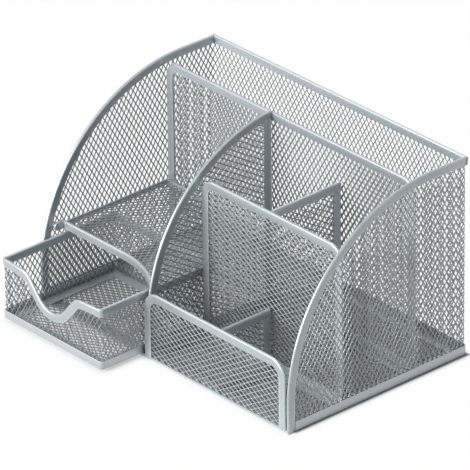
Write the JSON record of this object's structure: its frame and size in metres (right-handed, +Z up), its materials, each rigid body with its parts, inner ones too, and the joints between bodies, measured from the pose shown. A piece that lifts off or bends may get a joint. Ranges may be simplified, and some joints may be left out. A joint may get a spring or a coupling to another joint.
{
  "type": "desk organizer with drawer",
  "caption": "Wire-mesh pen stand with curved sides, open compartments, a full-width rear slot and a sliding drawer under a shelf.",
  "frame": {"origin": "middle of the base hem's footprint, on the surface that the stand rests on", "axes": "+X to the right as seen from the front, +Y to the back, +Z up; the drawer opens towards -Y"},
  "size_m": [0.22, 0.1717, 0.13],
  "materials": {
    "hem": "satin silver powder coat",
    "mesh": "satin silver powder coat on expanded sheet",
    "border": "satin silver powder coat"
  },
  "bodies": {
    "stand": {"back_hem": "hem", "base_hem": "hem", "floor_border": "border", "floor_lip": "hem", "floor_mesh": "mesh", "front_cross_hem": "hem", "front_cross_mesh": "mesh", "front_panel_hem": "hem", "front_panel_mesh": "mesh", "middle_divider_hem": "hem", "middle_divider_mesh": "mesh", "pen_row_hem": "hem", "pen_row_mesh": "mesh", "rear_cross_hem": "hem", "rear_cross_mesh": "mesh", "rear_divider_hem": "hem", "rear_divider_mesh": "mesh", "shelf_edge": "hem", "shelf_hem": "hem", "shelf_mesh": "mesh", "side_hem_left": "hem", "side_hem_right": "hem", "wall_mesh": "mesh"},
    "drawer": {"drawer_base_hem_back": "hem", "drawer_base_hem_front": "hem", "drawer_base_hem_left": "hem", "drawer_base_hem_right": "hem", "drawer_floor_border": "border", "drawer_floor_mesh": "mesh", "drawer_front_mesh": "mesh", "drawer_hem_front": "hem", "drawer_side_mesh": "mesh", "drawer_top_hem_back": "hem", "drawer_top_hem_left": "hem", "drawer_top_hem_right": "hem"}
  },
  "joints": [
    {"name": "drawer_slide", "type": "slide", "parent": "stand", "child": "drawer", "axis": [0, -1, 0], "range_m": [-0.0317, 0.043]}
  ]
}
